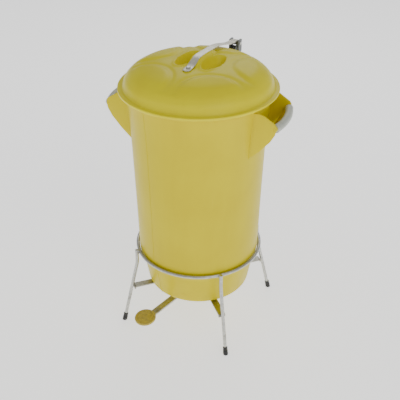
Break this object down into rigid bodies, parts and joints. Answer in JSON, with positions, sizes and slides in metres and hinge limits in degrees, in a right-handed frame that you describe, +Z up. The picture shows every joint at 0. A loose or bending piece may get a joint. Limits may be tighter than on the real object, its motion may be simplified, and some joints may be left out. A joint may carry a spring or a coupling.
{
  "type": "pedal bin",
  "caption": "Round plastic bin with domed lid and side grips, held in a splayed rod stand; a foot pedal lifts the lid through a push rod and a strap.",
  "frame": {"origin": "centre of the footprint on the floor, on the tub's axis", "axes": "+Z up; the pedal is at -Y and the lid's hinge is at +Y"},
  "size_m": [0.4968, 0.4901, 0.817],
  "materials": {
    "tub_yellow": "semi-gloss moulded polyethylene",
    "grip_grey": "satin plastic sleeve",
    "rod_zinc": "bright zinc plate",
    "bar_zinc": "zinc-plated flat bar",
    "cap_black": "moulded black plastic",
    "strap_steel": "satin steel strap",
    "bracket_grey": "grey paint",
    "pad_ochre": "worn yellow plastic",
    "fastener_steel": "zinc-plated"
  },
  "bodies": {
    "stand": {"bin_body": "tub_yellow", "bracket_set_screw": "fastener_steel", "cross_bar_lower": "bar_zinc", "cross_bar_upper": "bar_zinc", "cross_rivet": "fastener_steel", "foot_cap_front_left": "cap_black", "foot_cap_front_right": "cap_black", "foot_cap_rear_left": "cap_black", "foot_cap_rear_right": "cap_black", "hinge_bracket": "bracket_grey", "hinge_pin": "fastener_steel", "hinge_pin_clip": "fastener_steel", "left_grip": "grip_grey", "leg_front_left": "rod_zinc", "leg_front_right": "rod_zinc", "leg_rear_left": "rod_zinc", "leg_rear_right": "rod_zinc", "pivot_bracket": "bar_zinc", "pivot_bracket_rivets": "fastener_steel", "pivot_pin": "fastener_steel", "pivot_pin_clip": "fastener_steel", "rear_tie_bar": "bar_zinc", "rear_upright": "rod_zinc", "right_grip": "grip_grey", "ring_bracket": "bar_zinc", "rod_guide": "cap_black", "support_ring": "rod_zinc", "upright_nuts": "fastener_steel"},
    "lid": {"lid": "tub_yellow", "lid_strap": "strap_steel", "strap_screw": "fastener_steel", "strap_washer": "fastener_steel", "strap_nut": "fastener_steel", "hinge_knuckle": "bracket_grey", "crank_pin": "fastener_steel"},
    "rod": {"push_rod": "rod_zinc", "push_rod_head": "cap_black", "push_rod_foot": "cap_black"},
    "pedal": {"pedal_lever": "bar_zinc", "pedal_pad": "pad_ochre", "pedal_pad_screw": "fastener_steel"}
  },
  "joints": [
    {"name": "lid_hinge", "type": "hinge", "parent": "stand", "child": "lid", "pos_m": [0, 0.238, 0.776], "axis": [-1, 0, 0], "range_deg": [0, 70]},
    {"name": "rod_slide", "type": "slide", "parent": "stand", "child": "rod", "axis": [0, 0, 1], "range_m": [0, 0.0299]},
    {"name": "pedal_hinge", "type": "hinge", "parent": "stand", "child": "pedal", "pos_m": [0, 0.04, 0.095], "axis": [1, 0, 0], "range_deg": [0, 9.65]}
  ],
  "couplings": [
    {"joint": "rod_slide", "follows": "lid_hinge", "m_per_rad": 0.024416},
    {"joint": "pedal_hinge", "follows": "lid_hinge", "ratio": 0.13771}
  ]
}
